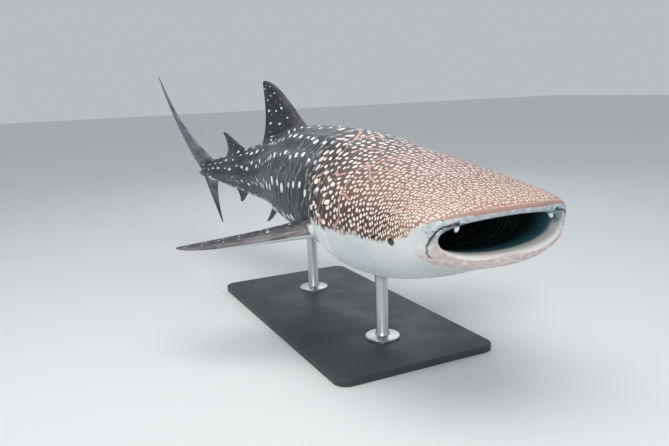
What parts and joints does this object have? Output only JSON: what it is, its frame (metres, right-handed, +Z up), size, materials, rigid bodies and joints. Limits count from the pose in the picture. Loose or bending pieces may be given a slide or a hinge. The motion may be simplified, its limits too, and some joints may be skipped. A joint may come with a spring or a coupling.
{
  "type": "whale shark model",
  "caption": "Life-size still model of a young whale shark swimming with its mouth open, spotted skin, on a low base with two rods.",
  "frame": {"origin": "middle of the underside of the stand's base, on the floor", "axes": "+X the way the shark heads, +Y its left, +Z up"},
  "size_m": [5.5028, 2.4677, 1.9213],
  "materials": {
    "skin": "satin skin, brown to slate with cream spots above and off-white below",
    "eye": "wet gloss",
    "stand_base": "matt dark paint",
    "stand_rod": "satin brushed"
  },
  "bodies": {
    "root": {"head": "skin", "lower_jaw": "skin", "gill_region": "skin", "torso": "skin", "tail_stock": "skin", "first_dorsal_fin": "skin", "second_dorsal_fin": "skin", "anal_fin": "skin", "caudal_fin": "skin", "pectoral_fin_right": "skin", "pectoral_fin_left": "skin", "pelvic_fin_right": "skin", "pelvic_fin_left": "skin", "eye_right": "eye", "eye_left": "eye", "stand_base": "stand_base", "stand_rod_front": "stand_rod", "stand_rod_rear": "stand_rod"}
  },
  "joints": []
}
